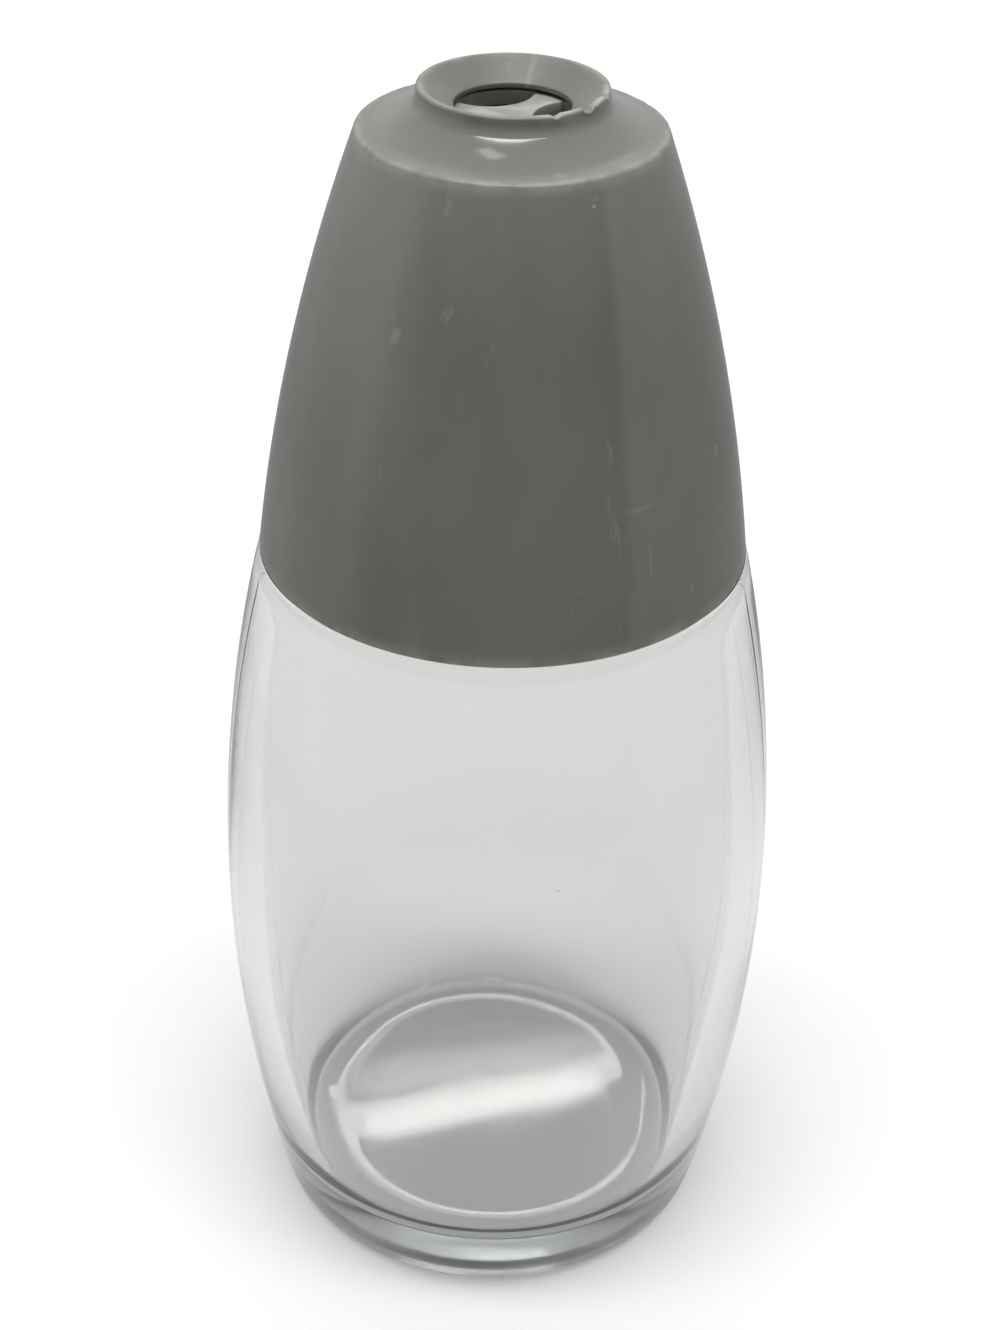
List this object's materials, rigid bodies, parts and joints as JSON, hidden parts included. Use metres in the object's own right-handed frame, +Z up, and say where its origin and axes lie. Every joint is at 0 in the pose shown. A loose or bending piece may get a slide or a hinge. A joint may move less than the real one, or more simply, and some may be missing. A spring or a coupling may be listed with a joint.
{
  "type": "toothpick dispenser",
  "caption": "Barrel-shaped clear glass jar with a tall conical grey plastic screw cap whose dished crown hole, over a disc with three openings, lets toothpicks slide out a few at a time.",
  "frame": {"origin": "centre of the jar's base, on the plane that it stands on", "axes": "+Z up along the turning axis of jar and cap; -Y faces the picture's camera, +X is to its right"},
  "size_m": [0.049, 0.049, 0.1077],
  "materials": {
    "clear_glass": "clear moulded glass, smooth, faintly grey",
    "cap_plastic": "glossy moulded mid-grey plastic, lightly scuffed, edges worn lighter",
    "disc_plastic": "satin moulded grey plastic"
  },
  "bodies": {
    "jar": {"glass_jar": "clear_glass"},
    "disc": {"metering_disc": "disc_plastic"},
    "cap": {"screw_cap": "cap_plastic"}
  },
  "joints": [
    {"name": "cap_lift", "type": "slide", "parent": "jar", "child": "disc", "axis": [0, 0, 1], "range_m": [0, 0.00405]},
    {"name": "cap_turn", "type": "hinge", "parent": "disc", "child": "cap", "pos_m": [0, 0, 0.0688], "axis": [0, 0, 1], "range_deg": [0, 360]}
  ],
  "couplings": [
    {"joint": "cap_lift", "follows": "cap_turn", "m_per_rad": 0.00063662}
  ]
}
